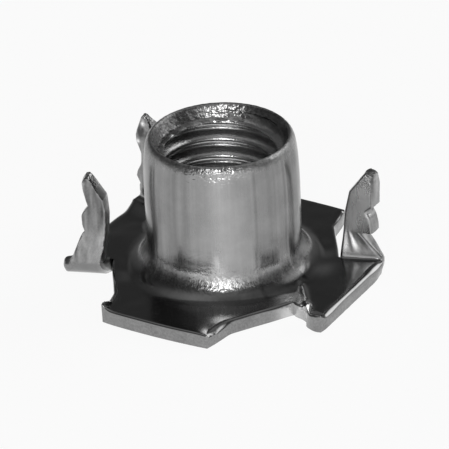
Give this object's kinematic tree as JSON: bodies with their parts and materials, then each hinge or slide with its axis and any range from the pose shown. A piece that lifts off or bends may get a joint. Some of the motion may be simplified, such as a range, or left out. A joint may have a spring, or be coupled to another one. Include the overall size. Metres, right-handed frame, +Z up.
{
  "type": "pronged tee nut",
  "caption": "Stamped steel tee nut: a threaded barrel drawn up from a thin flange, with barbed prongs folded up at the flange's sides to bite into wood.",
  "frame": {"origin": "on the barrel's axis, at the middle of the flange's underside", "axes": "+Z up the barrel to its open rim, +X across the sides that carry the prongs, +Y across the plain sides"},
  "size_m": [0.0228, 0.0224, 0.0121],
  "materials": {
    "plated_steel": "bright zinc plating over stamped sheet, glossy, with drawing lines along the barrel"
  },
  "bodies": {
    "root": {"tee_nut": "plated_steel"}
  },
  "joints": []
}
